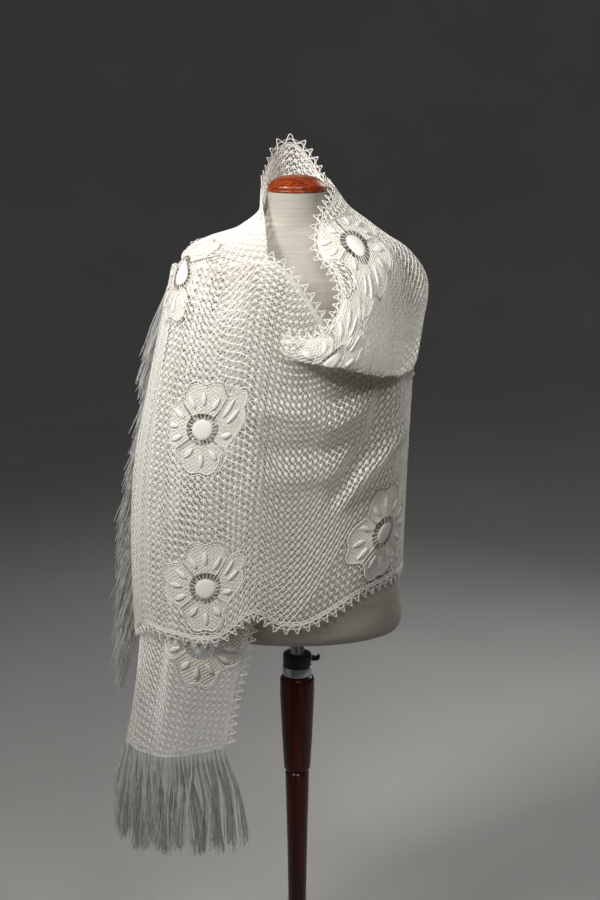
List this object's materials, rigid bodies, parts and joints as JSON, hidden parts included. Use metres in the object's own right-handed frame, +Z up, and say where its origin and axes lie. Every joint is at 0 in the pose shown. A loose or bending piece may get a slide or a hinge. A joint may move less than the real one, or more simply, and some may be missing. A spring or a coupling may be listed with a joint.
{
  "type": "lace shawl on a dress form with a stand",
  "caption": "Ivory bobbin lace shawl with flowers, picot edges and fringes, wound round a linen dress form on a turned wooden stand.",
  "frame": {"origin": "centre of the round base's underside, on the floor under the stand's axis", "axes": "+Z up along the stand's post, -Y out of the form's front, +X to the viewer's right as seen from the front"},
  "size_m": [0.5326, 0.3798, 1.5839],
  "materials": {
    "lace": "matte",
    "fringe": "soft sheen",
    "linen": "matte",
    "cap_wood": "gloss varnish",
    "dark_wood": "gloss varnish",
    "chrome": "polished",
    "black_plastic": "satin"
  },
  "bodies": {
    "stand": {"base": "dark_wood", "column": "dark_wood", "chrome_ring": "chrome", "clamp_collar": "black_plastic", "clamp_lever": "black_plastic"},
    "post": {"post": "chrome"},
    "form": {"form_torso": "linen", "neck_cap": "cap_wood", "shawl_end_a": "lace", "shawl_back": "lace", "shawl_cowl": "lace", "shawl_front_wrap": "lace", "shawl_end_b": "lace", "edge_end_a": "lace", "edge_collar": "lace", "edge_back_hem": "lace", "edge_neckline": "lace", "edge_wrap_top": "lace", "edge_wrap_hem": "lace", "edge_end_b_hem": "lace", "fringe_a": "fringe", "fringe_b": "fringe"}
  },
  "joints": [
    {"name": "height_slide", "type": "slide", "parent": "stand", "child": "post", "axis": [0, 0, 1], "range_m": [0, 0.25]},
    {"name": "form_swivel", "type": "hinge", "parent": "post", "child": "form", "pos_m": [0, 0, 0.746], "axis": [0, 0, 1], "continuous": true}
  ]
}
